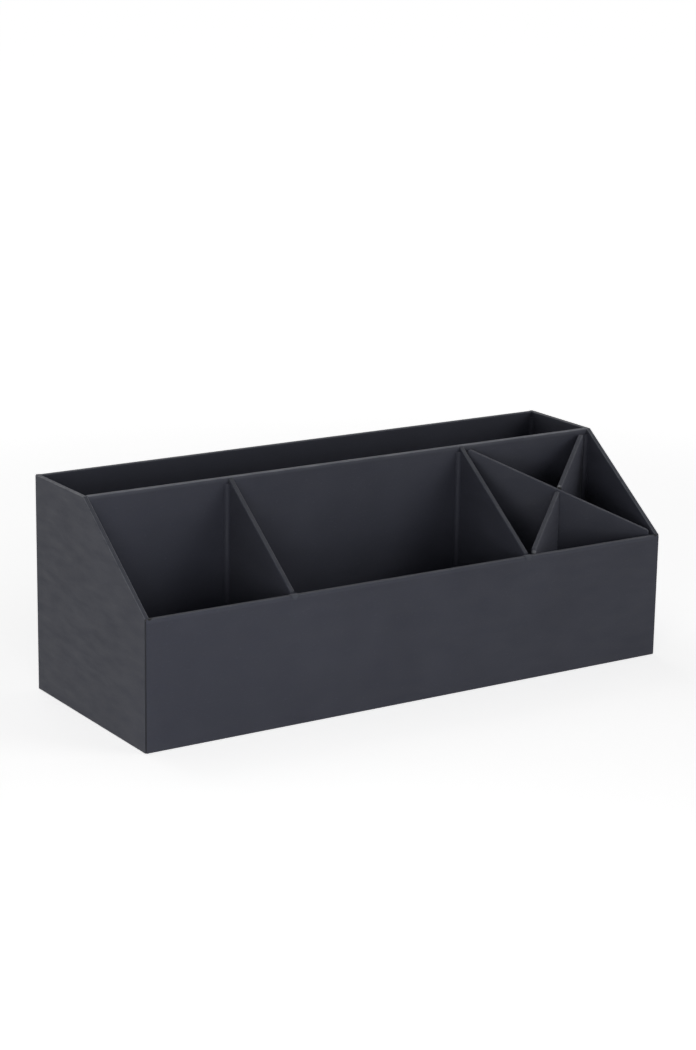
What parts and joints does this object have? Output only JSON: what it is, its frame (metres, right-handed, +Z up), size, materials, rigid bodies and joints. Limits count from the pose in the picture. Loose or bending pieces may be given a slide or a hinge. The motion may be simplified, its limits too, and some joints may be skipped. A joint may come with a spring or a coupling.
{
  "type": "desk organizer",
  "caption": "Open desk organizer of paper-covered board: a full-width slot behind, sloping sides, three front bays, and a lift-out cross that splits the right bay.",
  "frame": {"origin": "centre of the resting base, at the outside size", "axes": "+X to the right along the length, +Y from the low front to the high back, +Z up"},
  "size_m": [0.33, 0.1216, 0.1197],
  "materials": {
    "greyboard": "raw dense board, matt, hidden under the paper",
    "cover_paper": "charcoal uncoated cover paper, fine grain, matt",
    "liner_paper": "charcoal uncoated cover paper, matt",
    "underlay_paper": "dark uncoated lining paper, matt",
    "stay_tape": "black gummed paper tape, matt"
  },
  "bodies": {
    "tray": {"base_board": "greyboard", "front_board": "greyboard", "back_board": "greyboard", "left_side_board": "greyboard", "right_side_board": "greyboard", "partition_board": "greyboard", "left_divider_board": "greyboard", "right_divider_board": "greyboard", "front_cover": "cover_paper", "back_cover": "cover_paper", "left_side_cover": "cover_paper", "right_side_cover": "cover_paper", "partition_cover": "cover_paper", "left_divider_cover": "cover_paper", "right_divider_cover": "cover_paper", "rear_slot_liner": "liner_paper", "left_bay_liner": "liner_paper", "middle_bay_liner": "liner_paper", "right_bay_liner": "liner_paper", "base_underlay": "underlay_paper", "corner_stays": "stay_tape"},
    "cross_insert": {"cross_leaf_a_board": "greyboard", "cross_leaf_a_cover": "cover_paper", "cross_leaf_b_board": "greyboard", "cross_leaf_b_cover": "cover_paper"}
  },
  "joints": [
    {"name": "cross_insert_lift", "type": "slide", "parent": "tray", "child": "cross_insert", "axis": [0, 0, 1], "range_m": [0, 0.125]}
  ]
}
